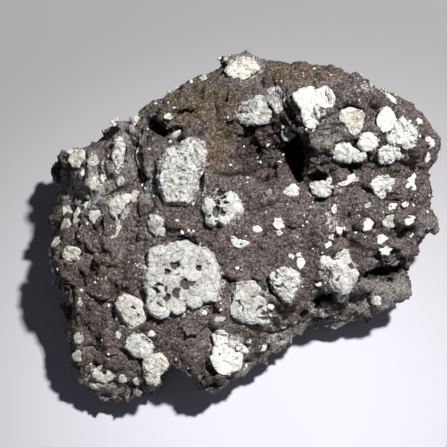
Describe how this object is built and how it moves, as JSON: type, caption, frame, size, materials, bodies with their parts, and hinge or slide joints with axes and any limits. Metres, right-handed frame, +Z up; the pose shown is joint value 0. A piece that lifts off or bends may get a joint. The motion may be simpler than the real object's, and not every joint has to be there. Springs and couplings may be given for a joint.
{
  "type": "leucitite rock",
  "caption": "Broken lump of dark brown-grey lava studded with white, eight-sided leucite crystals, with ledges and clefts along one side and a flat patch to rest on.",
  "frame": {"origin": "on the surface that the stone rests on, under the middle of its bounding box", "axes": "+X along the stone's length towards its ledged end, +Z up, and the broad broken face with the crystals turned up and towards -Y"},
  "size_m": [0.1196, 0.099, 0.0602],
  "materials": {
    "groundmass": "rough broken lava",
    "leucite": "chalky, dull white"
  },
  "bodies": {
    "root": {"groundmass": "groundmass", "leucite_01": "leucite", "leucite_02": "leucite", "leucite_03": "leucite", "leucite_04": "leucite", "leucite_05": "leucite", "leucite_06": "leucite", "leucite_07": "leucite", "leucite_08": "leucite", "leucite_09": "leucite", "leucite_10": "leucite", "leucite_11": "leucite", "leucite_12": "leucite", "leucite_13": "leucite", "leucite_14": "leucite", "leucite_15": "leucite", "leucite_16": "leucite", "leucite_17": "leucite", "leucite_18": "leucite", "leucite_19": "leucite", "leucite_20": "leucite", "leucite_21": "leucite", "leucite_22": "leucite", "leucite_23": "leucite", "leucite_24": "leucite", "leucite_25": "leucite", "leucite_26": "leucite", "leucite_27": "leucite", "leucite_28": "leucite", "leucite_29": "leucite", "leucite_30": "leucite", "leucite_31": "leucite", "leucite_32": "leucite", "leucite_33": "leucite", "leucite_34": "leucite", "leucite_35": "leucite"}
  },
  "joints": []
}
